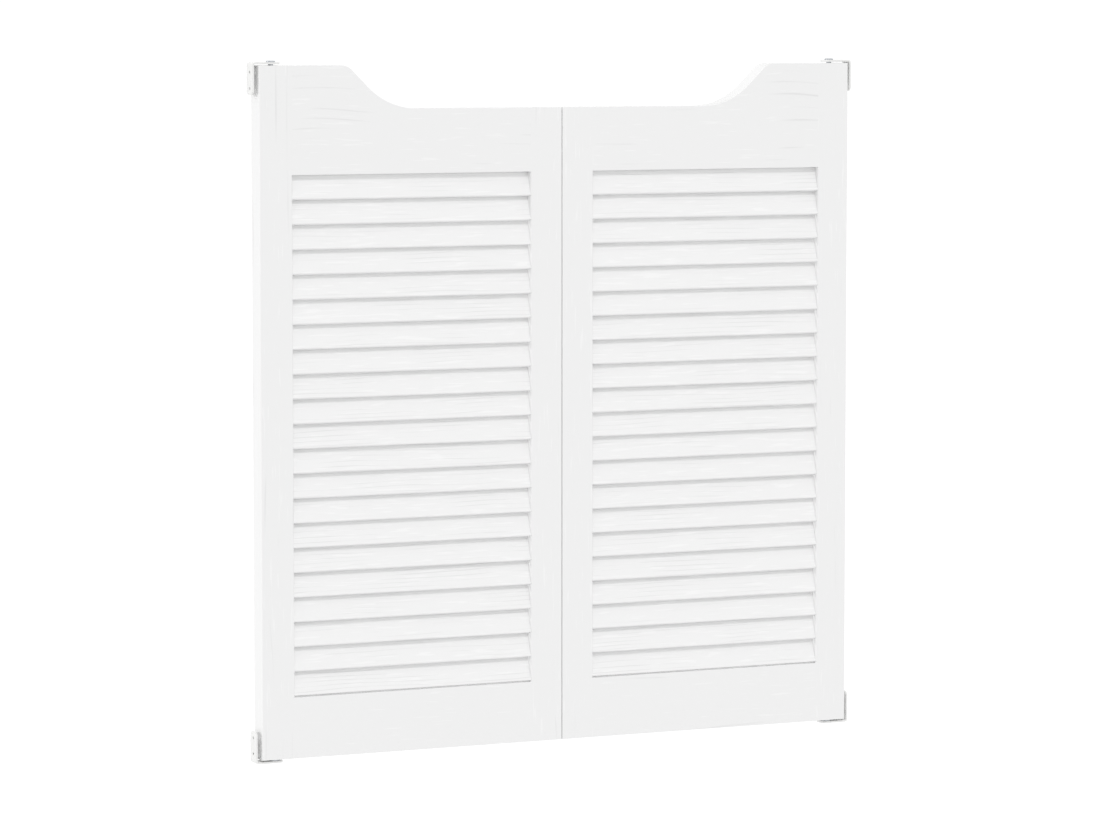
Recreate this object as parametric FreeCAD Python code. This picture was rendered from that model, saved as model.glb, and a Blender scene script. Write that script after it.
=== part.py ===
import FreeCAD, Part

import math
import os

# Cafe swinging doors: two scooped, louvred leaves on sprung double-acting pivots.
#
# Lengths are in millimetres. X runs across the doorway with 0 at the seam, Y runs from the
# front face to the back with 0 at mid-thickness, and Z runs up from the lowest bracket face.
# Each piece of a leaf is drawn for the left leaf in the leaf's own axes: x from its hinge
# edge towards the seam, y as above, z from its bottom edge. The right leaf is its mirror image.

# Leaf
leaf_height = 1067.0            # at the hinge stile
leaf_width = 507.5
leaf_thickness = 35.0
meeting_gap = 1.0               # between the two leaves, each of which swings past the other
edge_chamfer = 0.5              # on the face edges of stiles and rails, save where they meet

# Stiles and rails
stile_width = 53.5
bottom_rail_height = 95.0
top_rail_height = 167.0         # at the hinge side
scoop_depth = 67.0              # drop of the top edge from the hinge side to the seam
shoulder_length = 145.0         # hinge edge to the corner that the shoulder curve rounds off
scoop_angle = 44.5              # slope of the straight part, degrees
shoulder_radius = 24.0
hollow_radius = 118.0

# Tenons
tenon_length = 25.0
tenon_thickness = 12.0
tenon_shoulder = 8.0            # rail edge to tenon
tenon_clearance = 0.1           # to each cheek of the mortise
tenon_end_clearance = 1.0

# Louvre
slat_count = 21
slat_width = 44.5
slat_thickness = 7.0
slat_lean = 18.0                # from upright, with the top towards the back, degrees
slat_edge_chamfer = 1.5         # on the four long edges
slat_front_inset = 1.0          # front face of the leaf to the slats
slat_housing_depth = 7.0        # grooves in the stiles
slat_clearance = 0.1            # round a slat in its groove
opening_chamfer = 1.5           # on the face edges of the stiles, along the slats
top_slat_gap = 0.8              # top slat, ripped narrower, to the top rail
sill_gap = 1.0                  # lowest slat to the bottom rail

# Both pivots
pivot_inset = 25.4              # hinge edge to the pivot axis
press_clearance = 0.05          # radial, pieces pressed into a bore
running_clearance = 0.05        # radial, turning pieces
bore_land = 8.0                 # wood left between a bore and a tenon

# Top pivot: a drop-in pin through the bracket arm, turning in a bushing
pin_radius = 4.0
pin_head_radius = 7.0
pin_head_height = 2.5
pin_end_gap = 2.0               # pin tip to the end of the bushing
bushing_wall = 2.0
bushing_length = 24.0

# Bottom pivot: a spindle on the bracket arm, with a torsion spring round it in a barrel
arbor_radius = 4.0              # the spindle inside the spring
arbor_end_gap = 2.0             # spindle tip to the upper end of the barrel
journal_length = 8.0            # the spindle's bearing in the barrel, below the spring
collar_height = 3.0             # carries the barrel
spring_wire = 3.0               # square wire
spring_turns = 2.5
spring_clearance = 0.5          # radial, to the arbor and to the barrel
spring_end_gap = 0.3
barrel_wall = 1.5
barrel_length = 32.0

# Jamb brackets
bracket_thickness = 3.0
bracket_width = 24.0
plate_height = 50.0
bracket_corner_chamfer = 5.0
bend_radius = 2.0               # inside the bend
swing_clearance = 0.6           # corner of the turning stile to the plate
arm_gap = 2.0                   # top of the stile to the upper arm
screw_hole_radius = 2.25
countersink_radius = 4.2
screw_spacing = 25.0
screw_edge = 10.0               # end of the plate to the nearer screw

# Worked out from the sizes above
half_thickness = leaf_thickness / 2
seam_height = leaf_height - scoop_depth
seam_shoulder = leaf_width - stile_width
opening_bottom = bottom_rail_height
opening_top = leaf_height - top_rail_height
slat_pitch = (opening_top - opening_bottom - sill_gap) / slat_count
slat_rise = math.cos(math.radians(slat_lean))
slat_run = math.sin(math.radians(slat_lean))
slat_half = slat_thickness / 2
slat_flat_half = slat_half - slat_edge_chamfer
top_slat_width = (slat_pitch - top_slat_gap - 2 * slat_flat_half * slat_run) / slat_rise
bottom_tenon = (barrel_length + bore_land, opening_bottom - tenon_shoulder)
top_hinge_tenon = (opening_top + tenon_shoulder, leaf_height - bushing_length - bore_land)
top_seam_tenon = (opening_top + tenon_shoulder, seam_height - tenon_shoulder)
bushing_radius = pin_radius + running_clearance + bushing_wall
spring_radius = arbor_radius + spring_clearance + spring_wire / 2
cavity_radius = spring_radius + spring_wire / 2 + spring_clearance
barrel_radius = cavity_radius + barrel_wall
jamb_distance = math.hypot(pivot_inset, half_thickness) + swing_clearance + bracket_thickness
leaf_base = bracket_thickness + collar_height


def point(x, y, z):
    """Return a point as a vector."""
    return FreeCAD.Vector(x, y, z)


def block(x, y, z):
    """Return a box between two values on each axis."""
    corner = point(x[0], y[0], z[0])
    return Part.makeBox(x[1] - x[0], y[1] - y[0], z[1] - z[0], corner)


def turned(profile):
    """Return the solid that a closed (radius, z) profile makes about the pivot axis."""
    corners = [point(pivot_inset + radius, 0, z) for radius, z in profile]
    outline = Part.makePolygon(corners + corners[:1])
    return Part.Face(outline).revolve(point(pivot_inset, 0, 0), point(0, 0, 1), 360)


def same(first, second):
    """Tell whether two positions are the same."""
    return math.isclose(first, second, abs_tol=1e-4)


def eased(board):
    """Chamfer the edges of a board's front and back faces, but not where it meets another."""
    face_edges = []
    for edge in board.Edges:
        middle = edge.CenterOfMass
        at_joint = same(middle.x, stile_width) or same(middle.x, seam_shoulder)
        if same(abs(middle.y), half_thickness) and not at_joint:
            face_edges.append(edge)
    return board.makeChamfer(edge_chamfer, face_edges)


def opening_arrises(inner_side, inward):
    """Return the cutters that chamfer a stile's two face edges along the slats.

    The stile's inner side lies at x, and inward is -1 or 1, the way from there into its wood.
    """
    cutters = []
    for face in (-1, 1):
        arris = point(inner_side, face * half_thickness, opening_bottom)
        along_face = point(inward * opening_chamfer, 0, 0)
        along_side = point(0, -face * opening_chamfer, 0)
        section = Part.makePolygon([arris, arris + along_face, arris + along_side, arris])
        cutters.append(Part.Face(section).extrude(point(0, 0, opening_top - opening_bottom)))
    return cutters


def slat_section(number, corners):
    """Return the face of a slat's section, or of its groove's, from corners on the slat.

    Slats count from 1 at the top. A corner is given as its way up the slat from the middle of
    the lower edge, and its way out towards the front.
    """
    edge_y = slat_front_inset - half_thickness + slat_half * slat_rise - slat_edge_chamfer * slat_run
    edge_z = opening_top - number * slat_pitch + slat_flat_half * slat_run
    lower_edge = point(0, edge_y, edge_z)
    upward = point(0, slat_run, slat_rise)
    outward = point(0, -slat_rise, slat_run)
    ring = [lower_edge + upward * up + outward * out for up, out in corners]
    return Part.Face(Part.makePolygon(ring + ring[:1]))


def width_of_slat(number):
    """Return the width of a slat. The top one is ripped to fit under the rail."""
    return top_slat_width if number == 1 else slat_width


def slat(number):
    """Return one louvre slat with chamfered long edges, its ends in their grooves."""
    width = width_of_slat(number)
    section = slat_section(number, [
        (0, -slat_flat_half),
        (0, slat_flat_half),
        (slat_edge_chamfer, slat_half),
        (width - slat_edge_chamfer, slat_half),
        (width, slat_flat_half),
        (width, -slat_flat_half),
        (width - slat_edge_chamfer, -slat_half),
        (slat_edge_chamfer, -slat_half),
    ])
    housed = slat_housing_depth - slat_clearance
    length = seam_shoulder - stile_width + 2 * housed
    bar = section.extrude(point(length, 0, 0))
    bar.translate(point(stile_width - housed, 0, 0))
    return bar


def slat_grooves(start):
    """Return the cutters for the row of slat grooves that starts at x in a stile."""
    cutters = []
    for number in range(1, slat_count + 1):
        top = width_of_slat(number) + slat_clearance
        side = slat_half + slat_clearance
        section = slat_section(number, [
            (-slat_clearance, -side),
            (-slat_clearance, side),
            (top, side),
            (top, -side),
        ])
        groove = section.extrude(point(slat_housing_depth, 0, 0))
        groove.translate(point(start, 0, 0))
        cutters.append(groove)
    return cutters


def tenon(shoulder, direction, span):
    """Return a tenon on a rail's shoulder, -1 towards the hinge side or 1 towards the seam."""
    cheek = tenon_thickness / 2
    reach = sorted([shoulder, shoulder + direction * tenon_length])
    return block(reach, (-cheek, cheek), span)


def mortise(shoulder, direction, span):
    """Return the cutter for the mortise that a tenon sits in."""
    cheek = tenon_thickness / 2 + tenon_clearance
    depth = tenon_length + tenon_end_clearance
    reach = sorted([shoulder, shoulder + direction * depth])
    height = (span[0] - tenon_clearance, span[1] + tenon_clearance)
    return block(reach, (-cheek, cheek), height)


def pivot_bore(radius, bottom, length):
    """Return the cutter for an upright bore in the hinge stile."""
    return Part.makeCylinder(radius + press_clearance, length, point(pivot_inset, 0, bottom))


def hinge_stile():
    """Return the tall outer stile, grooved, mortised, and bored at both ends."""
    stile = eased(block((0, stile_width), (-half_thickness, half_thickness), (0, leaf_height)))
    cutters = slat_grooves(stile_width - slat_housing_depth) + opening_arrises(stile_width, -1)
    cutters += [
        mortise(stile_width, -1, bottom_tenon),
        mortise(stile_width, -1, top_hinge_tenon),
        pivot_bore(barrel_radius, 0, barrel_length),
        pivot_bore(bushing_radius, leaf_height - bushing_length, bushing_length),
    ]
    return stile.cut(cutters)


def meeting_stile():
    """Return the shorter stile at the seam, grooved and mortised."""
    stile = eased(block((seam_shoulder, leaf_width), (-half_thickness, half_thickness),
                        (0, seam_height)))
    cutters = slat_grooves(seam_shoulder) + opening_arrises(seam_shoulder, 1)
    cutters += [mortise(seam_shoulder, 1, bottom_tenon), mortise(seam_shoulder, 1, top_seam_tenon)]
    return stile.cut(cutters)


def scooped_edge():
    """Return the edges of the top rail's upper outline, from the hinge side to the seam."""
    front = -half_thickness
    slope = math.radians(scoop_angle)
    level = point(1, 0, 0)
    downhill = point(math.cos(slope), 0, -math.sin(slope))
    shoulder = point(shoulder_length, front, leaf_height)
    foot = point(shoulder_length + scoop_depth / math.tan(slope), front, seam_height)
    shoulder_start = shoulder - level * (shoulder_radius * math.tan(slope / 2))
    shoulder_end = shoulder + downhill * (shoulder_radius * math.tan(slope / 2))
    hollow_start = foot - downhill * (hollow_radius * math.tan(slope / 2))
    hollow_end = foot + level * (hollow_radius * math.tan(slope / 2))
    # Each curve passes its corner on the line that halves the turn.
    halving = point(math.sin(slope / 2), 0, math.cos(slope / 2))
    corner_share = 1 / math.cos(slope / 2) - 1
    shoulder_middle = shoulder - halving * (shoulder_radius * corner_share)
    hollow_middle = foot + halving * (hollow_radius * corner_share)
    return [
        Part.LineSegment(point(stile_width, front, leaf_height), shoulder_start).toShape(),
        Part.Arc(shoulder_start, shoulder_middle, shoulder_end).toShape(),
        Part.LineSegment(shoulder_end, hollow_start).toShape(),
        Part.Arc(hollow_start, hollow_middle, hollow_end).toShape(),
        Part.LineSegment(hollow_end, point(seam_shoulder, front, seam_height)).toShape(),
    ]


def top_rail():
    """Return the top rail with its scooped upper edge and a tenon at each end."""
    front = -half_thickness
    straight_sides = Part.makePolygon([
        point(seam_shoulder, front, seam_height),
        point(seam_shoulder, front, opening_top),
        point(stile_width, front, opening_top),
        point(stile_width, front, leaf_height),
    ])
    outline = Part.Wire(scooped_edge() + straight_sides.Edges)
    rail = eased(Part.Face(outline).extrude(point(0, leaf_thickness, 0)))
    tenons = [tenon(stile_width, -1, top_hinge_tenon), tenon(seam_shoulder, 1, top_seam_tenon)]
    return rail.fuse(tenons)


def bottom_rail():
    """Return the straight bottom rail with a tenon at each end."""
    rail = eased(block((stile_width, seam_shoulder), (-half_thickness, half_thickness),
                       (0, bottom_rail_height)))
    tenons = [tenon(stile_width, -1, bottom_tenon), tenon(seam_shoulder, 1, bottom_tenon)]
    return rail.fuse(tenons)


def top_bushing():
    """Return the bushing for the top pin, flush with the top of the hinge stile."""
    bottom = leaf_height - bushing_length
    inner_radius = pin_radius + running_clearance
    return turned([
        (inner_radius, bottom),
        (bushing_radius, bottom),
        (bushing_radius, leaf_height),
        (inner_radius, leaf_height),
    ])


def top_pin():
    """Return the drop-in top pin, its head resting on the bracket arm."""
    tip = leaf_height - bushing_length + pin_end_gap
    head_bottom = leaf_height + arm_gap + bracket_thickness
    head_top = head_bottom + pin_head_height
    return turned([
        (0, tip),
        (pin_radius, tip),
        (pin_radius, head_bottom),
        (pin_head_radius, head_bottom),
        (pin_head_radius, head_top),
        (0, head_top),
    ])


def pivot_barrel():
    """Return the barrel in the foot of the hinge stile, flush with the bottom edge."""
    return turned([
        (cavity_radius, 0),
        (barrel_radius, 0),
        (barrel_radius, barrel_length),
        (cavity_radius, barrel_length),
    ])


def pivot_spring():
    """Return the square-wire torsion spring, wound round the spindle inside the barrel."""
    half_wire = spring_wire / 2
    winding_height = barrel_length - journal_length - 2 * spring_end_gap - spring_wire
    path = Part.makeHelix(winding_height / spring_turns, winding_height, spring_radius)
    section = Part.makePolygon([
        point(spring_radius - half_wire, 0, -half_wire),
        point(spring_radius + half_wire, 0, -half_wire),
        point(spring_radius + half_wire, 0, half_wire),
        point(spring_radius - half_wire, 0, half_wire),
        point(spring_radius - half_wire, 0, -half_wire),
    ])
    spring = Part.Wire(path).makePipeShell([section], True, True)
    spring.translate(point(pivot_inset, 0, journal_length + spring_end_gap + half_wire))
    return spring


def pivot_spindle():
    """Return the bottom spindle: a collar under the barrel, a journal in it, and an arbor."""
    journal_radius = cavity_radius - running_clearance
    tip = barrel_length - arbor_end_gap
    return turned([
        (0, -collar_height),
        (barrel_radius, -collar_height),
        (barrel_radius, 0),
        (journal_radius, 0),
        (journal_radius, journal_length),
        (arbor_radius, journal_length),
        (arbor_radius, tip),
        (0, tip),
    ])


def bent_strip():
    """Return an upper bracket's strip: an arm whose underside is z = 0, and a hanging plate."""
    side = -bracket_width / 2
    jamb = pivot_inset - jamb_distance
    arm_end = pivot_inset + bracket_width / 2
    plate_end = bracket_thickness - plate_height
    outer_radius = bend_radius + bracket_thickness
    bend_centre = point(jamb + outer_radius, side, -bend_radius)
    bend_middle = point(-math.sqrt(0.5), 0, math.sqrt(0.5))
    outer_start = bend_centre - point(outer_radius, 0, 0)
    outer_end = bend_centre + point(0, 0, outer_radius)
    inner_start = bend_centre + point(0, 0, bend_radius)
    inner_end = bend_centre - point(bend_radius, 0, 0)
    arm = Part.makePolygon([
        outer_end,
        point(arm_end, side, bracket_thickness),
        point(arm_end, side, 0),
        inner_start,
    ])
    plate = Part.makePolygon([
        inner_end,
        point(jamb + bracket_thickness, side, plate_end),
        point(jamb, side, plate_end),
        outer_start,
    ])
    outer_bend = Part.Arc(outer_start, bend_centre + bend_middle * outer_radius, outer_end)
    inner_bend = Part.Arc(inner_start, bend_centre + bend_middle * bend_radius, inner_end)
    bends = [outer_bend.toShape(), inner_bend.toShape()]
    outline = Part.Wire(Part.__sortEdges__(arm.Edges + plate.Edges + bends))
    return Part.Face(outline).extrude(point(0, bracket_width, 0))


def screw_hole(height):
    """Return the cutter for a countersunk screw hole in a plate, countersunk towards the leaf."""
    inner_face = point(pivot_inset - jamb_distance + bracket_thickness, 0, height)
    towards_jamb = point(-1, 0, 0)
    sink_depth = countersink_radius - screw_hole_radius
    hole = Part.makeCylinder(screw_hole_radius, bracket_thickness, inner_face, towards_jamb)
    sink = Part.makeCone(countersink_radius, screw_hole_radius, sink_depth,
                         inner_face, towards_jamb)
    return hole.fuse(sink)


def blank_bracket():
    """Return an upper bracket, its corners clipped and screw holes cut, its arm resting on z = 0."""
    strip = bent_strip()
    corners = [edge for edge in strip.Edges
               if math.isclose(edge.Length, bracket_thickness, abs_tol=1e-4)]
    bracket = strip.makeChamfer(bracket_corner_chamfer, corners)
    lower_screw = bracket_thickness - plate_height + screw_edge
    return bracket.cut([screw_hole(lower_screw), screw_hole(lower_screw + screw_spacing)])


def top_bracket():
    """Return the upper bracket, its arm over the hinge stile and bored for the pin."""
    pin_hole = pivot_bore(pin_radius, 0, bracket_thickness)
    bracket = blank_bracket().cut(pin_hole)
    bracket.translate(point(0, 0, leaf_height + arm_gap))
    return bracket


def bottom_bracket():
    """Return the lower bracket, turned over so that its arm carries the spindle's collar."""
    bracket = blank_bracket().mirror(point(0, 0, 0), point(0, 0, 1))
    bracket.translate(point(0, 0, -collar_height))
    return bracket


def on_left(shape):
    """Return a copy of a piece in its place at the left leaf."""
    return shape.translated(point(-leaf_width - meeting_gap / 2, 0, leaf_base))


def on_right(shape):
    """Return a copy of a piece in its place at the right leaf, mirrored."""
    return on_left(shape).mirror(point(0, 0, 0), point(1, 0, 0))


def leaf_pieces():
    """Return the pieces that turn with a leaf, by name."""
    pieces = {
        "hinge_stile": hinge_stile(),
        "meeting_stile": meeting_stile(),
        "top_rail": top_rail(),
        "bottom_rail": bottom_rail(),
        "top_bushing": top_bushing(),
        "pivot_barrel": pivot_barrel(),
    }
    for number in range(1, slat_count + 1):
        pieces[f"slat_{number:02d}"] = slat(number)
    return pieces


def jamb_pieces():
    """Return the pieces that stay on the jambs, by name."""
    return {
        "top_jamb_brackets": top_bracket(),
        "top_pivot_pins": top_pin(),
        "bottom_jamb_brackets": bottom_bracket(),
        "bottom_pivot_spindles": pivot_spindle(),
        "pivot_springs": pivot_spring(),
    }


def export(name, shape):
    """Write one node's STEP file."""
    shape.exportStep(f"parts/{name}.step")


def main():
    """Build the doors and write one file for each node."""
    os.makedirs("parts", exist_ok=True)
    for name, shape in leaf_pieces().items():
        export(f"left_{name}", on_left(shape))
        export(f"right_{name}", on_right(shape))
    for name, shape in jamb_pieces().items():
        export(name, Part.makeCompound([on_left(shape), on_right(shape)]))


main()
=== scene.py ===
"""Cafe swinging doors: two scooped, louvred pine leaves on sprung jamb pivots.

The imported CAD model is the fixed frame. The boards and the pieces inside the pivots keep their
CAD shapes, and the louvre slats, brackets, pins and spindles are modelled here with their edges
rounded. Lengths are in metres, with X across the doorway, Y from front to back and Z up.
"""
import logging
import math
import random
from dataclasses import dataclass, field, replace
from enum import Enum

import bpy
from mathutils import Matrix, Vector


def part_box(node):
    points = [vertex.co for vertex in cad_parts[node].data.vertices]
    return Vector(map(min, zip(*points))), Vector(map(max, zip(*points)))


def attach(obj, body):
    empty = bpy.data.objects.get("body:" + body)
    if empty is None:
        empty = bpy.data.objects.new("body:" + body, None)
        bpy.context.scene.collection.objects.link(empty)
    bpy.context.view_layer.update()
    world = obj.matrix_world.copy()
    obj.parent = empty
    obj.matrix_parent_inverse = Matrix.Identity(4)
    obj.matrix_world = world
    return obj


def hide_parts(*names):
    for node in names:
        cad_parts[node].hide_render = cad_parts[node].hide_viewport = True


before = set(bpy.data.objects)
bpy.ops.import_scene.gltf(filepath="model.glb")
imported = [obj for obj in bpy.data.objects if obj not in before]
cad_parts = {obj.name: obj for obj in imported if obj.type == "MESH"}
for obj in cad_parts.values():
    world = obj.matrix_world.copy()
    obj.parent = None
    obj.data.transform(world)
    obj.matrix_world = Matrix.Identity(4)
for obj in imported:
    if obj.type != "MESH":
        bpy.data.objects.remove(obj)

LOG = logging.getLogger("cafe_doors")
MM = 0.001
TOUCH = MM / 100                        # points closer than this count as one
GRAIN_SEED = 31
GRAIN_PLACE = "grain_place"             # attribute: where in the tree a slat was sawn
WAVE_PACE = 20                          # radians in a metre of wave texture, at a scale of 1
# A Mix node's colour sockets share their names with its others, so they go by number.
MIX_FIRST, MIX_SECOND, MIX_RESULT = 6, 7, 2
Triple = tuple[float, float, float]


class Side(Enum):
    """The two leaves of the doorway."""

    LEFT = "left"
    RIGHT = "right"

    @property
    def sign(self) -> int:
        """Give the sign of the leaf's X."""
        return -1 if self is Side.LEFT else 1


class End(Enum):
    """The two ends of a hinge stile, each with its pivot."""

    TOP = "top"
    BOTTOM = "bottom"

    @property
    def sign(self) -> int:
        """Give the sign of the way out of the stile."""
        return 1 if self is End.TOP else -1


class Grain(Enum):
    """The way that a board's grain runs, with the turn that lays it along Z."""

    UPRIGHT = (0.0, 0.0, 0.0)
    LEVEL = (0.0, math.pi / 2, 0.0)


def colour(hex_code: str) -> tuple[float, float, float, float]:
    """Turn an sRGB hex colour into linear values.

    Args:
        hex_code: Six hex digits after a hash sign.

    Returns:
        Linear red, green, blue and an alpha of 1.
    """
    parts = [int(hex_code[place:place + 2], 16) / 255 for place in (1, 3, 5)]
    red, green, blue = [
        part / 12.92 if part <= 0.04045 else ((part + 0.055) / 1.055) ** 2.4 for part in parts
    ]
    return red, green, blue, 1.0


def add_node(tree: bpy.types.NodeTree, kind: str, settings: dict | None = None,
             inputs: dict | None = None) -> bpy.types.Node:
    """Add a node with its settings and links.

    Args:
        tree: Node tree of a material or of the world.
        kind: Blender's name for the node's type.
        settings: Values of the node's own properties.
        inputs: A value or another node's output for each named or numbered input.

    Returns:
        The new node.
    """
    made = tree.nodes.new(kind)
    for name, value in (settings or {}).items():
        setattr(made, name, value)
    for name, value in (inputs or {}).items():
        if isinstance(value, bpy.types.NodeSocket):
            tree.links.new(value, made.inputs[name])
        else:
            made.inputs[name].default_value = value
    return made


def shape_ramp(ramp: bpy.types.Node, stops: tuple[tuple[float, float], ...]) -> None:
    """Set a colour ramp's stops.

    Args:
        ramp: Colour ramp node.
        stops: Position and grey value of each stop, in order.
    """
    elements = ramp.color_ramp.elements
    while len(elements) < len(stops):
        elements.new(0.5)
    for element, (position, grey) in zip(elements, stops):
        element.position = position
        element.color = (grey, grey, grey, 1.0)


def new_material(name: str) -> tuple[bpy.types.Material, bpy.types.NodeTree]:
    """Make an empty node material.

    Args:
        name: Material name.

    Returns:
        The material and its node tree.
    """
    material = bpy.data.materials.new(name)
    material.use_nodes = True
    material.node_tree.nodes.clear()
    return material, material.node_tree


def wave_scale(spacing_mm: float) -> float:
    """Give the Wave Texture scale whose bands lie this far apart, in millimetres."""
    return 2 * math.pi / WAVE_PACE / (spacing_mm * MM)


def noise_scale(spot_mm: float) -> float:
    """Give the Noise Texture scale whose spots are about this wide, in millimetres."""
    return 1 / (spot_mm * MM)


@dataclass(frozen=True)
class PaintedPine:
    """Satin white paint, sprayed on sanded pine.

    The paint levels the wood but the hard latewood lines stay proud, so the eye gets a clean
    white with faint long lines that come and go along the board.
    """

    board: str
    grain: Grain
    heart: Triple = (0.0, 0.06, 0.0)    # from the board to the middle of its growth rings
    tilt: float = 0.010                 # of the rings' axis to the board, radians
    paint: str = "#EFEFEF"
    thick_paint: str = "#F3F3F3"
    line_shade: str = "#E1E1E1"
    # Growth rings are 2 to 5 mm apart in pine; they are drawn coarser so that they show.
    ring_spacing: float = 18.0          # mm
    # Place in a ring, from its inside, and how dark it is there: a sharp line near the outside.
    ring_profile: tuple[tuple[float, float], ...] = (
        (0.0, 0.1), (0.1, 0.0), (0.82, 0.04), (0.93, 1.0), (1.0, 0.1))
    wander: float = 9.0                 # how far the lines sway, in radians of a ring
    along_stretch: float = 0.22         # how wide the patterns are for their length
    patch_size: float = 33.0            # mm, of the places where the lines show
    plain_share: float = 0.69           # noise level at which the lines sink into the paint
    line_fade: float = 0.10             # noise levels over which they sink
    # Sprayed paint and wood fibres vary within 0.1 mm; both are drawn coarser to show at all.
    streak_size: float = 3.6            # mm, of the paint's thicker streaks
    smooth_share: float = 0.66          # noise level below which the paint lies even
    soft_edge: float = 0.08             # noise levels over which a line or streak comes up
    fibre_size: float = 2.4             # mm
    fibre_stretch: float = 0.34         # the streaks and fibres are narrower yet, by this
    fibre_relief: float = 0.15          # height of the fibres against that of the lines
    line_relief: float = 0.25           # mm
    gloss: tuple[float, float] = (0.40, 0.52)    # least and most roughness
    ior: float = 1.48
    # A branch grew near this place, in metres, so the lines rise over it and stand out more.
    branch: Triple | None = None
    branch_reach: float = 0.11
    branch_rise: float = 0.006
    branch_stir: float = 0.17           # added to the noise level at the branch

    def material(self) -> bpy.types.Material:
        """Build the finish for one board.

        Returns:
            The node material.
        """
        material, tree = new_material(f"satin_painted_pine_{self.board}")
        place = add_node(tree, "ShaderNodeTexCoord").outputs["Object"]
        near = self.nearness_to_branch(tree, place)
        in_tree = self.place_in_tree(tree, place, near)
        lines = self.growth_lines(tree, in_tree, near)
        drawn_out = add_node(tree, "ShaderNodeMapping", {},
                             {"Vector": in_tree, "Scale": (1.0, 1.0, self.fibre_stretch)})
        coat = self.streaked_coat(tree, drawn_out.outputs["Vector"])
        shade = add_node(tree, "ShaderNodeMix", {"data_type": "RGBA"},
                         {"Factor": lines, MIX_FIRST: coat,
                          MIX_SECOND: colour(self.line_shade)})
        fibre = add_node(tree, "ShaderNodeTexNoise", {},
                         {"Vector": drawn_out.outputs["Vector"],
                          "Scale": noise_scale(self.fibre_size), "Detail": 3.0,
                          "Roughness": 0.6})
        relief = add_node(tree, "ShaderNodeMath", {"operation": "MULTIPLY_ADD"},
                          {0: fibre.outputs["Fac"], 1: self.fibre_relief, 2: lines})
        bump = add_node(tree, "ShaderNodeBump", {},
                        {"Height": relief.outputs["Value"], "Strength": 0.5,
                         "Distance": self.line_relief * MM})
        gloss = add_node(tree, "ShaderNodeMapRange", {},
                         {"Value": fibre.outputs["Fac"], "To Min": self.gloss[0],
                          "To Max": self.gloss[1]})
        shader = add_node(tree, "ShaderNodeBsdfPrincipled", {},
                          {"Base Color": shade.outputs[MIX_RESULT],
                           "Roughness": gloss.outputs["Result"], "IOR": self.ior,
                           "Normal": bump.outputs["Normal"]})
        add_node(tree, "ShaderNodeOutputMaterial", {}, {"Surface": shader.outputs["BSDF"]})
        return material

    def place_in_tree(self, tree: bpy.types.NodeTree, place: bpy.types.NodeSocket,
                      near: bpy.types.NodeSocket) -> bpy.types.NodeSocket:
        """Find a point's place in the tree that the board was sawn from.

        Args:
            tree: Node tree to add to.
            place: The point.
            near: Its nearness to the branch.

        Returns:
            The place from the middle of the growth rings. Z runs along the grain, and is
            shortened so that patterns come out long.
        """
        own_place = add_node(tree, "ShaderNodeAttribute", {"attribute_name": GRAIN_PLACE})
        moved = add_node(tree, "ShaderNodeVectorMath", {"operation": "ADD"},
                         {0: place, 1: own_place.outputs["Vector"]})
        sunk = add_node(tree, "ShaderNodeVectorMath", {"operation": "MULTIPLY_ADD"},
                        {0: near, 1: (0.0, 0.0, -self.branch_rise),
                         2: moved.outputs["Vector"]})
        upright = add_node(tree, "ShaderNodeMapping", {},
                           {"Vector": sunk.outputs["Vector"], "Location": self.heart,
                            "Rotation": self.grain.value})
        leaning = add_node(tree, "ShaderNodeMapping", {},
                           {"Vector": upright.outputs["Vector"],
                            "Rotation": (self.tilt, self.tilt / 2, 0.0),
                            "Scale": (1.0, 1.0, self.along_stretch)})
        return leaning.outputs["Vector"]

    def growth_lines(self, tree: bpy.types.NodeTree, in_tree: bpy.types.NodeSocket,
                     near: bpy.types.NodeSocket) -> bpy.types.NodeSocket:
        """Draw the latewood lines where they show through the paint.

        Args:
            tree: Node tree to add to.
            in_tree: A point's place in the tree.
            near: Its nearness to the branch.

        Returns:
            A value of 1 on a plain line, and 0 between lines and where the paint hides them.
        """
        rings = add_node(tree, "ShaderNodeTexWave",
                         {"wave_type": "RINGS", "rings_direction": "Z", "wave_profile": "SAW"},
                         {"Vector": in_tree, "Scale": wave_scale(self.ring_spacing),
                          "Distortion": self.wander, "Detail": 1.0, "Detail Scale": 0.5,
                          "Detail Roughness": 0.4})
        latewood = add_node(tree, "ShaderNodeValToRGB", {}, {"Fac": rings.outputs["Fac"]})
        shape_ramp(latewood, self.ring_profile)
        patches = add_node(tree, "ShaderNodeTexNoise", {},
                           {"Vector": in_tree, "Scale": noise_scale(self.patch_size),
                            "Detail": 2.0})
        stirred = add_node(tree, "ShaderNodeMath", {"operation": "MULTIPLY_ADD"},
                           {0: near, 1: self.branch_stir, 2: patches.outputs["Fac"]})
        shown = add_node(tree, "ShaderNodeValToRGB", {}, {"Fac": stirred.outputs["Value"]})
        shape_ramp(shown, ((self.plain_share - self.line_fade, 0.0),
                           (self.plain_share + self.soft_edge, 1.0)))
        lines = add_node(tree, "ShaderNodeMath", {"operation": "MULTIPLY"},
                         {0: latewood.outputs["Color"], 1: shown.outputs["Color"]})
        return lines.outputs["Value"]

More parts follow.
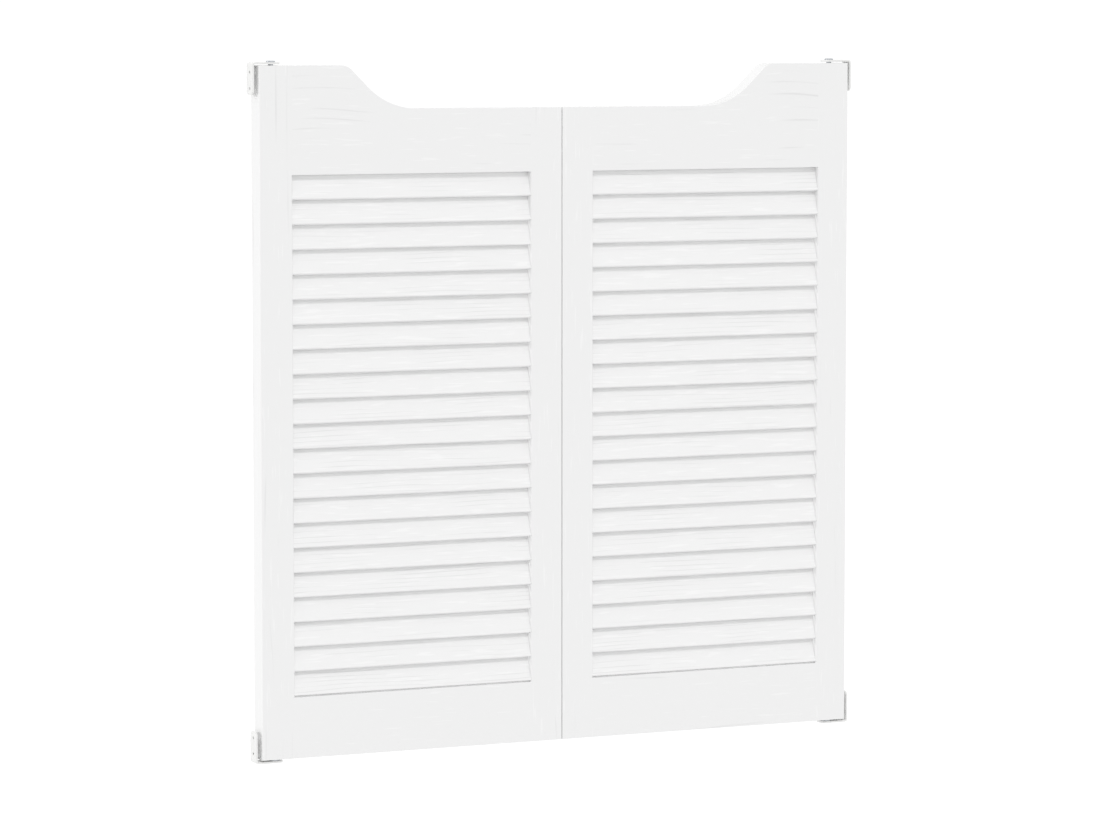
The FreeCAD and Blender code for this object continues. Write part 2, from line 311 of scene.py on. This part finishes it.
    def streaked_coat(self, tree: bpy.types.NodeTree,
                      drawn_out: bpy.types.NodeSocket) -> bpy.types.NodeSocket:
        """Mix the even coat with its thicker streaks.

        Args:
            tree: Node tree to add to.
            drawn_out: A point's place in the tree, with Z shortened further.

        Returns:
            The paint's colour.
        """
        streaks = add_node(tree, "ShaderNodeTexNoise", {},
                           {"Vector": drawn_out, "Scale": noise_scale(self.streak_size),
                            "Detail": 1.0})
        lay = add_node(tree, "ShaderNodeValToRGB", {}, {"Fac": streaks.outputs["Fac"]})
        shape_ramp(lay, ((self.smooth_share, 0.0), (self.smooth_share + self.soft_edge, 1.0)))
        coat = add_node(tree, "ShaderNodeMix", {"data_type": "RGBA"},
                        {"Factor": lay.outputs["Color"], MIX_FIRST: colour(self.paint),
                         MIX_SECOND: colour(self.thick_paint)})
        return coat.outputs[MIX_RESULT]

    def nearness_to_branch(self, tree: bpy.types.NodeTree,
                           place: bpy.types.NodeSocket) -> bpy.types.NodeSocket:
        """Tell how near a point lies to the branch.

        Args:
            tree: Node tree to add to.
            place: The point.

        Returns:
            A value of 1 at the branch, falling softly to 0 out of its reach or without one.
        """
        if self.branch is None:
            return add_node(tree, "ShaderNodeValue").outputs["Value"]
        gap = add_node(tree, "ShaderNodeVectorMath", {"operation": "DISTANCE"},
                       {0: place, 1: self.branch})
        near = add_node(tree, "ShaderNodeMapRange", {"interpolation_type": "SMOOTHSTEP"},
                        {"Value": gap.outputs["Value"], "From Max": self.branch_reach,
                         "To Min": 1.0, "To Max": 0.0})
        return near.outputs["Result"]


@dataclass(frozen=True)
class PowderCoat:
    """White polyester powder, baked on steel strip: an even satin with a fine orange peel."""

    name: str = "powder_coated_steel"
    coat: str = "#EFEFEE"
    thin_coat: str = "#E7E7E6"
    peel_size: float = 1.6              # mm, real peel is 0.5 to 1 mm and would not show
    peel_relief: float = 0.05           # mm
    cloud_size: float = 16.0            # mm, of the places where the coat is thin
    gloss: tuple[float, float] = (0.34, 0.46)    # least and most roughness
    ior: float = 1.5

    def material(self) -> bpy.types.Material:
        """Build the finish.

        Returns:
            The node material.
        """
        material, tree = new_material(self.name)
        place = add_node(tree, "ShaderNodeTexCoord")
        peel = add_node(tree, "ShaderNodeTexNoise", {},
                        {"Vector": place.outputs["Object"],
                         "Scale": noise_scale(self.peel_size), "Detail": 1.0})
        cloud = add_node(tree, "ShaderNodeTexNoise", {},
                         {"Vector": place.outputs["Object"],
                          "Scale": noise_scale(self.cloud_size), "Detail": 2.0})
        shade = add_node(tree, "ShaderNodeMix", {"data_type": "RGBA"},
                         {"Factor": cloud.outputs["Fac"], MIX_FIRST: colour(self.coat),
                          MIX_SECOND: colour(self.thin_coat)})
        bump = add_node(tree, "ShaderNodeBump", {},
                        {"Height": peel.outputs["Fac"], "Strength": 0.3,
                         "Distance": self.peel_relief * MM})
        gloss = add_node(tree, "ShaderNodeMapRange", {},
                         {"Value": peel.outputs["Fac"], "To Min": self.gloss[0],
                          "To Max": self.gloss[1]})
        shader = add_node(tree, "ShaderNodeBsdfPrincipled", {},
                          {"Base Color": shade.outputs[MIX_RESULT],
                           "Roughness": gloss.outputs["Result"], "IOR": self.ior,
                           "Normal": bump.outputs["Normal"]})
        add_node(tree, "ShaderNodeOutputMaterial", {}, {"Surface": shader.outputs["BSDF"]})
        return material


@dataclass(frozen=True)
class Turned:
    """A turned rod or tube, with the lathe's fine rings round it and a mottled tone."""

    name: str
    tone: str
    second_tone: str
    metallic: float
    roughness: float
    ior: float = 1.5
    mark_spacing: float = 0.9           # mm, the real feed marks of 0.1 mm would not show
    mark_relief: float = 0.03           # mm
    mottle_size: float = 4.2            # mm
    unevenness: float = 0.06            # of the roughness, up and down

    def material(self) -> bpy.types.Material:
        """Build the finish.

        Returns:
            The node material.
        """
        material, tree = new_material(self.name)
        place = add_node(tree, "ShaderNodeTexCoord")
        marks = add_node(tree, "ShaderNodeTexWave",
                         {"wave_type": "BANDS", "bands_direction": "Z"},
                         {"Vector": place.outputs["Object"], "Distortion": 0.6, "Detail": 1.0,
                          "Scale": wave_scale(self.mark_spacing)})
        mottle = add_node(tree, "ShaderNodeTexNoise", {},
                          {"Vector": place.outputs["Object"],
                           "Scale": noise_scale(self.mottle_size), "Detail": 3.0})
        shade = add_node(tree, "ShaderNodeMix", {"data_type": "RGBA"},
                         {"Factor": mottle.outputs["Fac"], MIX_FIRST: colour(self.tone),
                          MIX_SECOND: colour(self.second_tone)})
        bump = add_node(tree, "ShaderNodeBump", {},
                        {"Height": marks.outputs["Fac"], "Strength": 0.25,
                         "Distance": self.mark_relief * MM})
        gloss = add_node(tree, "ShaderNodeMapRange", {},
                         {"Value": mottle.outputs["Fac"],
                          "To Min": self.roughness - self.unevenness,
                          "To Max": self.roughness + self.unevenness})
        shader = add_node(tree, "ShaderNodeBsdfPrincipled", {},
                          {"Base Color": shade.outputs[MIX_RESULT],
                           "Roughness": gloss.outputs["Result"],
                           "Metallic": self.metallic, "IOR": self.ior,
                           "Normal": bump.outputs["Normal"]})
        add_node(tree, "ShaderNodeOutputMaterial", {}, {"Surface": shader.outputs["BSDF"]})
        return material


def select_none() -> None:
    """Leave edit mode and deselect every object."""
    if bpy.context.object and bpy.context.object.mode != "OBJECT":
        bpy.ops.object.mode_set(mode="OBJECT")
    bpy.ops.object.select_all(action="DESELECT")


def select_only(piece: bpy.types.Object) -> None:
    """Select one object and make it active.

    Args:
        piece: The object.
    """
    select_none()
    piece.select_set(True)
    bpy.context.view_layer.objects.active = piece


def select_level(piece: bpy.types.Object, axis: int, level: float) -> None:
    """Go into edit mode with only the edges at one level selected.

    Args:
        piece: Object to edit.
        axis: 0, 1 or 2 for X, Y or Z.
        level: Where the edges lie on that axis.
    """
    select_only(piece)
    bpy.ops.object.mode_set(mode="EDIT")
    bpy.ops.mesh.select_mode(type="EDGE")
    bpy.ops.mesh.select_all(action="DESELECT")
    bpy.ops.object.mode_set(mode="OBJECT")
    for edge in piece.data.edges:
        ends = [piece.data.vertices[index].co[axis] for index in edge.vertices]
        edge.select = all(abs(end - level) < TOUCH for end in ends)
    bpy.ops.object.mode_set(mode="EDIT")


def settle(piece: bpy.types.Object) -> None:
    """Put an object's place, turn and size into its mesh."""
    select_only(piece)
    bpy.ops.object.transform_apply(location=True, rotation=True, scale=True)


def copied(piece: bpy.types.Object, name: str, shift: Vector) -> bpy.types.Object:
    """Copy a piece with its own mesh.

    Args:
        piece: Finished piece.
        name: Name of the copy.
        shift: Way from the piece to the copy.

    Returns:
        The copy, with its place in its mesh.
    """
    select_only(piece)
    bpy.ops.object.duplicate(linked=False)
    made = bpy.context.object
    made.name = made.data.name = name
    made.location = shift
    settle(made)
    return made


def dress(piece: bpy.types.Object, material: bpy.types.Material) -> None:
    """Give an object one material in place of all it has.

    Args:
        piece: The object.
        material: Its finish.
    """
    if not piece.material_slots:
        piece.data.materials.append(material)
    for slot in piece.material_slots:
        slot.link = "OBJECT"
        slot.material = material


@dataclass
class Louvre:
    """One leaf's row of leaning slats, with their long edges rounded over."""

    side: Side
    count: int = 21
    thickness: float = 7.0 * MM
    lean: float = math.radians(18.0)    # from upright, with the top towards the back
    cut_edge: float = 1.5 * MM          # the CAD slats' chamfer
    edge_radius: float = 1.4 * MM
    edge_segments: int = 5
    smooth_below: float = math.radians(35)
    # How far off in the tree a slat may be sawn: along the grain, in depth and in height.
    spread: Triple = (0.9, 0.02, 0.05)
    finish: PaintedPine = field(init=False)

    def __post_init__(self) -> None:
        """Choose the grain of the slats."""
        # The slats' paint is a shade lighter than the boards': painted light, lifting the slats
        # out of the shade that falls in the louvre's recesses.
        self.finish = PaintedPine(f"{self.side.value}_slats", Grain.LEVEL,
                                  heart=(0.0, 0.045, 0.0), tilt=0.014, ring_spacing=7.0,
                                  plain_share=0.57, smooth_share=0.59, wander=6.0,
                                  paint="#F1F1F1", thick_paint="#F5F5F5")

    def shape_slat(self, number: int) -> bpy.types.Object:
        """Shape a slat from a bar.

        Args:
            number: The slat's place, from 1 at the top.

        Returns:
            The slat, in its place.
        """
        low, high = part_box(f"{self.side.value}_slat_{number:02d}")
        square_edge = self.thickness - 2 * self.cut_edge
        width = (high.z - low.z - square_edge * math.sin(self.lean)) / math.cos(self.lean)
        select_none()
        bpy.ops.mesh.primitive_cube_add(size=1, scale=(high.x - low.x, self.thickness, width))
        slat = bpy.context.object
        slat.name = slat.data.name = f"{self.side.value}_louvre_{number:02d}"
        settle(slat)
        bpy.ops.object.mode_set(mode="EDIT")
        bpy.ops.mesh.select_all(action="DESELECT")
        bpy.ops.object.mode_set(mode="OBJECT")
        for edge in slat.data.edges:
            start, end = [slat.data.vertices[index].co for index in edge.vertices]
            edge.select = abs(start.x - end.x) > width
        bpy.ops.object.mode_set(mode="EDIT")
        bpy.ops.mesh.select_mode(type="EDGE")
        bpy.ops.mesh.bevel(offset=self.edge_radius, segments=self.edge_segments,
                           affect="EDGES")
        bpy.ops.mesh.select_all(action="SELECT")
        bpy.ops.transform.rotate(value=self.lean, orient_axis="X", center_override=(0, 0, 0))
        bpy.ops.transform.translate(value=(low + high) / 2)
        bpy.ops.object.mode_set(mode="OBJECT")
        bpy.ops.object.shade_smooth_by_angle(angle=self.smooth_below)
        return slat

    def build(self, rng: random.Random) -> None:
        """Model the slats and hang them in their leaf. The top one is ripped narrower.

        Args:
            rng: Seeded source of each slat's place in the tree.
        """
        material = self.finish.material()
        ripped, full = self.shape_slat(1), self.shape_slat(2)
        top, second = [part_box(f"{self.side.value}_slat_{number:02d}")[0].z for number in (1, 2)]
        for number in range(1, self.count + 1):
            node = f"{self.side.value}_slat_{number:02d}"
            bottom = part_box(node)[0].z
            slat = ripped if number == 1 else full
            if number > 2:
                slat = copied(full, f"{self.side.value}_louvre_{number:02d}",
                              Vector((0, 0, bottom - second)))
            layers = slat.data.attributes
            place = (layers.get(GRAIN_PLACE)
                     or layers.new(GRAIN_PLACE, "FLOAT_VECTOR", "POINT"))
            along, deep, high = [rng.uniform(-reach, reach) for reach in self.spread]
            sawn = [along, deep, high + top - bottom]
            place.data.foreach_set("vector", sawn * len(slat.data.vertices))
            dress(slat, material)
            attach(slat, f"{self.side.value}_leaf")
            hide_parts(node)
        LOG.info("%s louvre: %d slats", self.side.value, self.count)


@dataclass
class LeafFrame:
    """One leaf's stiles and rails, which keep their CAD shapes."""

    side: Side
    # Where the middle of a board's growth rings may lie, to its sides and behind it.
    heart_spread: float = 0.03
    heart_depth: tuple[float, float] = (0.03, 0.07)
    tilt: tuple[float, float] = (0.006, 0.016)    # of the rings' axis, radians
    # The branch in the top rail, from the seam and above the lowest bracket face.
    branch_distance: float = 0.42
    branch_height: float = 1.015

    def build(self, rng: random.Random) -> None:
        """Paint the four boards.

        Args:
            rng: Seeded source of each board's place in the tree.
        """
        grains = {"hinge_stile": Grain.UPRIGHT, "meeting_stile": Grain.UPRIGHT,
                  "top_rail": Grain.LEVEL, "bottom_rail": Grain.LEVEL}
        for board, grain in grains.items():
            node = f"{self.side.value}_{board}"
            heart = (rng.uniform(-self.heart_spread, self.heart_spread),
                     rng.uniform(*self.heart_depth),
                     rng.uniform(-self.heart_spread, self.heart_spread))
            finish = PaintedPine(node, grain, heart, tilt=rng.uniform(*self.tilt))
            if board == "top_rail":
                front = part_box(node)[0].y
                finish = replace(finish, branch=(self.side.sign * self.branch_distance, front,
                                                 self.branch_height))
            dress(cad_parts[node], finish.material())
            LOG.info("%s painted", node)


@dataclass
class TurnedPiece:
    """A turned piece on both pivot axes, drawn out ring by ring from its lower end."""

    node: str
    words: str                          # its name, after the side
    # Radius of each ring and its height above the lower end, in mm.
    outline: tuple[tuple[float, float], ...]
    sides: int = 64
    smooth_below: float = math.radians(30)

    def build_one(self, side: Side, axis: float) -> bpy.types.Object:
        """Model the piece at one leaf.

        Args:
            side: Leaf that it belongs to.
            axis: Distance of the pivot axis from the seam.

        Returns:
            The piece.
        """
        centre = side.sign * axis
        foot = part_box(self.node)[0].z
        radius, height = self.outline[0]
        select_none()
        bpy.ops.mesh.primitive_circle_add(
            vertices=self.sides, radius=radius * MM, fill_type="NGON",
            location=(centre, 0, foot + height * MM))
        piece = bpy.context.object
        piece.name = piece.data.name = f"{side.value}_{self.words}"
        settle(piece)
        bpy.ops.object.mode_set(mode="EDIT")
        bpy.ops.mesh.select_mode(type="FACE")
        bpy.ops.mesh.select_all(action="SELECT")
        for next_radius, next_height in self.outline[1:]:
            bpy.ops.mesh.extrude_region_move(
                TRANSFORM_OT_translate={"value": (0, 0, (next_height - height) * MM)})
            share = next_radius / radius
            bpy.ops.transform.resize(value=(share, share, 1),
                                     center_override=(centre, 0, foot + next_height * MM))
            radius, height = next_radius, next_height
        bpy.ops.mesh.select_all(action="SELECT")
        bpy.ops.mesh.normals_make_consistent(inside=False)
        bpy.ops.object.mode_set(mode="OBJECT")
        bpy.ops.object.shade_smooth_by_angle(angle=self.smooth_below)
        return piece

    def build(self, axis: float, material: bpy.types.Material, slot: str) -> None:
        """Model the piece at both leaves in place of its CAD node.

        Args:
            axis: Distance of the pivot axes from the seam.
            material: Finish.
            slot: The record's name for the finish; not used.
        """
        for side in Side:
            piece = self.build_one(side, axis)
            dress(piece, material)
            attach(piece, "jamb_hardware")
            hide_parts(self.node)
            LOG.info("%s turned", piece.name)


@dataclass
class JambBracket:
    """A strip of steel bent square: a plate screwed to the jamb, and an arm over the stile."""

    side: Side
    end: End
    jamb: float                         # distances from the seam
    axis: float
    thickness: float = 3.0 * MM
    width: float = 24.0 * MM
    plate_height: float = 50.0 * MM
    bend_radius: float = 2.0 * MM       # inside the bend
    bend_steps: int = 10
    corner: float = 5.0 * MM            # clipped off at the strip's ends
    worn_edge: float = 0.35 * MM        # radius of the coated edges
    worn_segments: int = 2
    worn_above: float = math.radians(40)         # edges that turn less stay as they are
    smooth_below: float = math.radians(35)
    screw_radius: float = 2.25 * MM
    sink_radius: float = 4.2 * MM
    screw_heights: tuple[float, ...] = (10.0 * MM, 35.0 * MM)    # from the plate's free end
    pin_radius: float = 4.1 * MM
    screw_hole_sides: int = 40
    pin_hole_sides: int = 48
    overcut: float = 0.2 * MM           # cutters pass the faces by this much

    @property
    def node(self) -> str:
        """Name the CAD node that holds this bracket."""
        return f"{self.end.value}_jamb_brackets"

    def bend_strip(self, bend_level: float) -> bpy.types.Object:
        """Make the jamb-side face of the strip, as a sheet with no thickness.

        Args:
            bend_level: Height of the arm's outer face.

        Returns:
            The sheet, with its outer side towards the jamb and away from the leaf.
        """
        outward, upward = self.side.sign, self.end.sign
        radius = self.bend_radius + self.thickness
        straight = self.plate_height - radius
        middle = bend_level - upward * (radius + straight / 2)
        select_none()
        bpy.ops.mesh.primitive_plane_add(size=1)
        sheet = bpy.context.object
        sheet.name = sheet.data.name = f"{self.side.value}_{self.end.value}_bracket"
        sheet.scale = (straight, self.width, 1)
        sheet.rotation_euler = (0, math.pi / 2, 0)
        sheet.location = (outward * self.jamb, 0, middle)
        settle(sheet)
        near_bend = middle + upward * straight / 2
        select_level(sheet, 2, near_bend)
        centre = (outward * (self.jamb - radius), 0, near_bend)
        bpy.ops.mesh.spin(steps=self.bend_steps, angle=outward * upward * math.pi / 2,
                          center=centre, axis=(0, 1, 0))
        bpy.ops.object.mode_set(mode="OBJECT")
        select_level(sheet, 0, outward * (self.jamb - radius))
        reach = self.jamb - radius - (self.axis - self.width / 2)
        bpy.ops.mesh.extrude_region_move(
            TRANSFORM_OT_translate={"value": (-outward * reach, 0, 0)})
        bpy.ops.object.mode_set(mode="OBJECT")
        return sheet

    def clip_corners(self, sheet: bpy.types.Object) -> None:
        """Clip the four corners at the strip's ends.

        Args:
            sheet: The bent sheet.
        """
        arm_end = min(vertex.co.x * self.side.sign for vertex in sheet.data.vertices)
        plate_end = min(vertex.co.z * self.end.sign for vertex in sheet.data.vertices)
        for vertex in sheet.data.vertices:
            vertex.select = (abs(vertex.co.x * self.side.sign - arm_end) < TOUCH
                             or abs(vertex.co.z * self.end.sign - plate_end) < TOUCH)
        bpy.ops.object.mode_set(mode="EDIT")
        bpy.ops.mesh.select_mode(type="VERT")
        bpy.ops.mesh.bevel(offset=self.corner, affect="VERTICES", segments=1)
        bpy.ops.mesh.select_all(action="SELECT")
        bpy.ops.mesh.remove_doubles(threshold=TOUCH)
        bpy.ops.mesh.normals_make_consistent(inside=False)
        bpy.ops.object.mode_set(mode="OBJECT")

    def wall_side(self, sheet: bpy.types.Object) -> float:
        """Tell which way the wall grows, so that it lies on the leaf's side of the sheet.

        Args:
            sheet: The bent sheet, its outer face where the jamb is.

        Returns:
            Solidify's offset: -1 against the faces' normals and 1 along them.
        """
        plate = max(sheet.data.polygons, key=lambda face: abs(face.normal.x) * face.area)
        return -1.0 if plate.normal.x * self.side.sign > 0 else 1.0

    def drill(self, bracket: bpy.types.Object, bend_level: float) -> None:
        """Cut the countersunk screw holes, and the pin hole of an upper bracket.

        Args:
            bracket: The bracket at its full thickness.
            bend_level: Height of the arm's outer face.
        """
        outward, upward = self.side.sign, self.end.sign
        plate_end = bend_level - upward * self.plate_height
        inner = outward * (self.jamb - self.thickness)
        sink = self.sink_radius - self.screw_radius
        for height in self.screw_heights:
            level = plate_end + upward * height
            select_none()
            bpy.ops.mesh.primitive_cylinder_add(
                vertices=self.screw_hole_sides, radius=self.screw_radius,
                depth=3 * self.thickness, location=(inner, 0, level),
                rotation=(0, math.pi / 2, 0))
            self.cut(bracket, bpy.context.object)
            select_none()
            bpy.ops.mesh.primitive_cone_add(
                vertices=self.screw_hole_sides, radius1=self.sink_radius + self.overcut,
                radius2=self.screw_radius, depth=sink + self.overcut,
                location=(inner + outward * (sink - self.overcut) / 2, 0, level),
                rotation=(0, outward * math.pi / 2, 0))
            self.cut(bracket, bpy.context.object)
        if self.end is End.TOP:
            select_none()
            bpy.ops.mesh.primitive_cylinder_add(
                vertices=self.pin_hole_sides, radius=self.pin_radius, depth=3 * self.thickness,
                location=(outward * self.axis, 0, bend_level))
            self.cut(bracket, bpy.context.object)

    def cut(self, bracket: bpy.types.Object, cutter: bpy.types.Object) -> None:
        """Cut one shape out of the bracket and remove the cutter.

        Args:
            bracket: Shape to cut.
            cutter: Shape to cut out.
        """
        modifier = bracket.modifiers.new("cut", "BOOLEAN")
        modifier.object = cutter
        modifier.solver = "EXACT"
        select_only(bracket)
        bpy.ops.object.modifier_apply(modifier=modifier.name)
        select_only(cutter)
        bpy.ops.object.delete()

    def build(self, material: bpy.types.Material) -> None:
        """Model the bracket in place of its CAD solid.

        Args:
            material: Finish.
        """
        low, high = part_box(self.node)
        bend_level = high.z if self.end is End.TOP else low.z
        bracket = self.bend_strip(bend_level)
        self.clip_corners(bracket)
        select_only(bracket)
        wall = bracket.modifiers.new("wall", "SOLIDIFY")
        wall.thickness = self.thickness
        wall.offset = self.wall_side(bracket)
        bpy.ops.object.modifier_apply(modifier=wall.name)
        self.drill(bracket, bend_level)
        select_only(bracket)
        soften = bracket.modifiers.new("soften", "BEVEL")
        soften.width = self.worn_edge
        soften.segments = self.worn_segments
        soften.limit_method = "ANGLE"
        soften.angle_limit = self.worn_above
        bpy.ops.object.modifier_apply(modifier=soften.name)
        bpy.ops.object.shade_smooth_by_angle(angle=self.smooth_below)
        dress(bracket, material)
        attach(bracket, "jamb_hardware")
        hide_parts(self.node)
        LOG.info("%s bent and drilled", bracket.name)


@dataclass
class PivotHardware:
    """The jamb brackets and what turns on them."""

    coat: PowderCoat = PowderCoat()
    zinc: Turned = Turned("zinc_plated_steel", "#C6C9CC", "#B4B8BE", metallic=1.0,
                          roughness=0.28)
    nylon: Turned = Turned("turned_nylon", "#E6E2D6", "#DDD8CB", metallic=0.0, roughness=0.45,
                           ior=1.53)
    # The lines that drawing leaves on the wire run round the coil, as a lathe's rings do.
    spring: Turned = Turned("oil_tempered_wire", "#5B5A5C", "#474850", metallic=1.0,
                            roughness=0.36)
    # A plain shank with a broken edge at its tip, under a low domed head.
    pin: TurnedPiece = field(default_factory=lambda: TurnedPiece(
        "top_pivot_pins", "top_pin",
        ((3.2, 0.0), (4.0, 0.8), (4.0, 27.0), (6.7, 27.0), (7.0, 27.3), (7.0, 28.4),
         (6.7, 28.9), (5.9, 29.25), (4.4, 29.45), (2.0, 29.5))))
    # A collar that carries the leaf, a journal and a thin arbor inside the spring.
    spindle: TurnedPiece = field(default_factory=lambda: TurnedPiece(
        "bottom_pivot_spindles", "bottom_spindle",
        ((9.1, 0.0), (9.47, 0.35), (9.47, 2.65), (9.1, 3.0), (7.9, 3.0), (7.9, 10.6),
         (7.5, 11.0), (4.0, 11.0), (4.0, 32.3), (3.3, 33.0))))

    def build(self) -> None:
        """Model the brackets, pins and spindles, and dress the rest."""
        coat, zinc = self.coat.material(), self.zinc.material()
        nylon, spring = self.nylon.material(), self.spring.material()
        bushing_low, bushing_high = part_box("right_top_bushing")
        axis = (bushing_low.x + bushing_high.x) / 2
        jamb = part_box("top_jamb_brackets")[1].x
        for side in Side:
            for end in End:
                JambBracket(side, end, jamb, axis).build(coat)
        self.pin.build(axis, zinc, "zinc_plated_steel")
        self.spindle.build(axis, zinc, "zinc_plated_steel")
        for node, material in {
            "left_pivot_barrel": zinc, "right_pivot_barrel": zinc,
            "left_top_bushing": nylon, "right_top_bushing": nylon,
            "pivot_springs": spring,
        }.items():
            dress(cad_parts[node], material)
            LOG.info("%s dressed", node)


def way_out(azimuth: float, elevation: float) -> Vector:
    """Give a direction away from the doors.

    Args:
        azimuth: Degrees, 0 straight ahead of the doors and -90 to their left.
        elevation: Degrees above level.

    Returns:
        The direction, with a length of 1.
    """
    round_doors, above = math.radians(azimuth), math.radians(elevation)
    return Vector((math.sin(round_doors) * math.cos(above),
                   -math.cos(round_doors) * math.cos(above), math.sin(above)))


@dataclass(frozen=True)
class Lamp:
    """A large soft lamp, far off."""

    name: str
    strength: float                     # W per square metre
    azimuth: float                      # where it hangs, in degrees
    elevation: float
    spread: float = 5.0                 # degrees across, sets how soft the shadows are

    def hang(self) -> None:
        """Add the lamp, shining at the doors."""
        lamp = bpy.data.lights.new(self.name, "SUN")
        lamp.energy = self.strength
        lamp.angle = math.radians(self.spread)
        hung = bpy.data.objects.new(self.name, lamp)
        bpy.context.scene.collection.objects.link(hung)
        beam = -way_out(self.azimuth, self.elevation)
        hung.rotation_euler = beam.to_track_quat("-Z", "Y").to_euler()


@dataclass
class Studio:
    """A pale floor far below the hanging doors, a soft white surround and two soft lamps."""

    target: Triple = (-0.0210, -0.0175, 0.5274)  # what the camera looks at
    azimuth: float = -24.86             # where it stands, in degrees
    elevation: float = 4.890
    distance: float = 7.221
    focal_length: float = 150.17        # mm
    sensor_width: float = 36.0          # mm
    view_depth: tuple[float, float] = (0.1, 200.0)
    floor_level: float = -0.80
    floor_size: float = 80.0
    floor_paint: str = "#F3F3F3"
    floor_dust: str = "#F1F1F1"
    floor_lift: float = 0.22            # light added where it is seen, so that it is white
    dust_size: float = 330.0            # mm, of the floor's faint clouds
    surround: float = 0.867             # light level that the surround gives
    seen_surround: float = 1.05         # just past 1, so that no part falls short of white
    lamps: tuple[Lamp, ...] = (
        Lamp("key", 0.50, azimuth=-6.0, elevation=42.0),
        Lamp("rim", 0.57, azimuth=-97.0, elevation=14.0),
    )

    def white_where_seen(self, tree: bpy.types.NodeTree) -> bpy.types.NodeSocket:
        """Tell the rays that see the backdrop from those that only carry light.

        Args:
            tree: Node tree to add to.

        Returns:
            A value of 1 for camera, glossy and transmission rays, and 0 for the rest.
        """
        path = add_node(tree, "ShaderNodeLightPath")
        mirrored = add_node(tree, "ShaderNodeMath", {"operation": "MAXIMUM"},
                            {0: path.outputs["Is Glossy Ray"],
                             1: path.outputs["Is Transmission Ray"]})
        return add_node(tree, "ShaderNodeMath", {"operation": "MAXIMUM"},
                        {0: path.outputs["Is Camera Ray"],
                         1: mirrored.outputs["Value"]}).outputs["Value"]

    def light(self) -> None:
        """Set the surround and hang the lamps."""
        world = bpy.data.worlds.new("white_surround")
        world.use_nodes = True
        world.node_tree.nodes.clear()
        tree = world.node_tree
        level = add_node(tree, "ShaderNodeMapRange", {},
                         {"Value": self.white_where_seen(tree), "To Min": self.surround,
                          "To Max": self.seen_surround})
        glow = add_node(tree, "ShaderNodeBackground", {},
                        {"Color": (1, 1, 1, 1), "Strength": level.outputs["Result"]})
        add_node(tree, "ShaderNodeOutputWorld", {}, {"Surface": glow.outputs["Background"]})
        bpy.context.scene.world = world
        for lamp in self.lamps:
            lamp.hang()

    def lay_floor(self) -> None:
        """Lay the floor, white where nothing shades it."""
        select_none()
        bpy.ops.mesh.primitive_plane_add(size=self.floor_size,
                                         location=(0, 0, self.floor_level))
        floor = bpy.context.object
        floor.name = "studio_floor"
        settle(floor)
        material, tree = new_material("matt_white_floor")
        place = add_node(tree, "ShaderNodeTexCoord")
        dust = add_node(tree, "ShaderNodeTexNoise", {},
                        {"Vector": place.outputs["Object"],
                         "Scale": noise_scale(self.dust_size), "Detail": 2.0})
        tone = add_node(tree, "ShaderNodeMix", {"data_type": "RGBA"},
                        {"Factor": dust.outputs["Fac"], MIX_FIRST: colour(self.floor_paint),
                         MIX_SECOND: colour(self.floor_dust)})
        matt = add_node(tree, "ShaderNodeBsdfDiffuse", {},
                        {"Color": tone.outputs[MIX_RESULT]})
        lift = add_node(tree, "ShaderNodeMath", {"operation": "MULTIPLY"},
                        {0: self.white_where_seen(tree), 1: self.floor_lift})
        glow = add_node(tree, "ShaderNodeEmission", {}, {"Strength": lift.outputs["Value"]})
        both = add_node(tree, "ShaderNodeAddShader", {},
                        {0: matt.outputs["BSDF"], 1: glow.outputs["Emission"]})
        add_node(tree, "ShaderNodeOutputMaterial", {}, {"Surface": both.outputs["Shader"]})
        dress(floor, material)

    def aim_camera(self) -> None:
        """Stand the camera to the left of the doors, a little above their middle."""
        lens = bpy.data.cameras.new("camera")
        lens.lens = self.focal_length
        lens.sensor_width = self.sensor_width
        lens.clip_start, lens.clip_end = self.view_depth
        camera = bpy.data.objects.new("camera", lens)
        bpy.context.scene.collection.objects.link(camera)
        stand = way_out(self.azimuth, self.elevation)
        camera.location = Vector(self.target) + self.distance * stand
        camera.rotation_euler = (-stand).to_track_quat("-Z", "Y").to_euler()
        bpy.context.scene.camera = camera

    def build(self) -> None:
        """Set up the whole studio."""
        self.aim_camera()
        self.light()
        self.lay_floor()
        bpy.context.scene.view_settings.view_transform = "Standard"
        LOG.info("studio ready")


def main() -> None:
    """Dress the doors and set up their studio."""
    logging.basicConfig(level=logging.INFO, format="%(name)s: %(message)s")
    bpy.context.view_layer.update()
    Studio().build()
    rng = random.Random(GRAIN_SEED)
    for side in Side:
        LeafFrame(side).build(rng)
        Louvre(side).build(rng)
    PivotHardware().build()
    select_none()


if __name__ == "__main__":
    main()
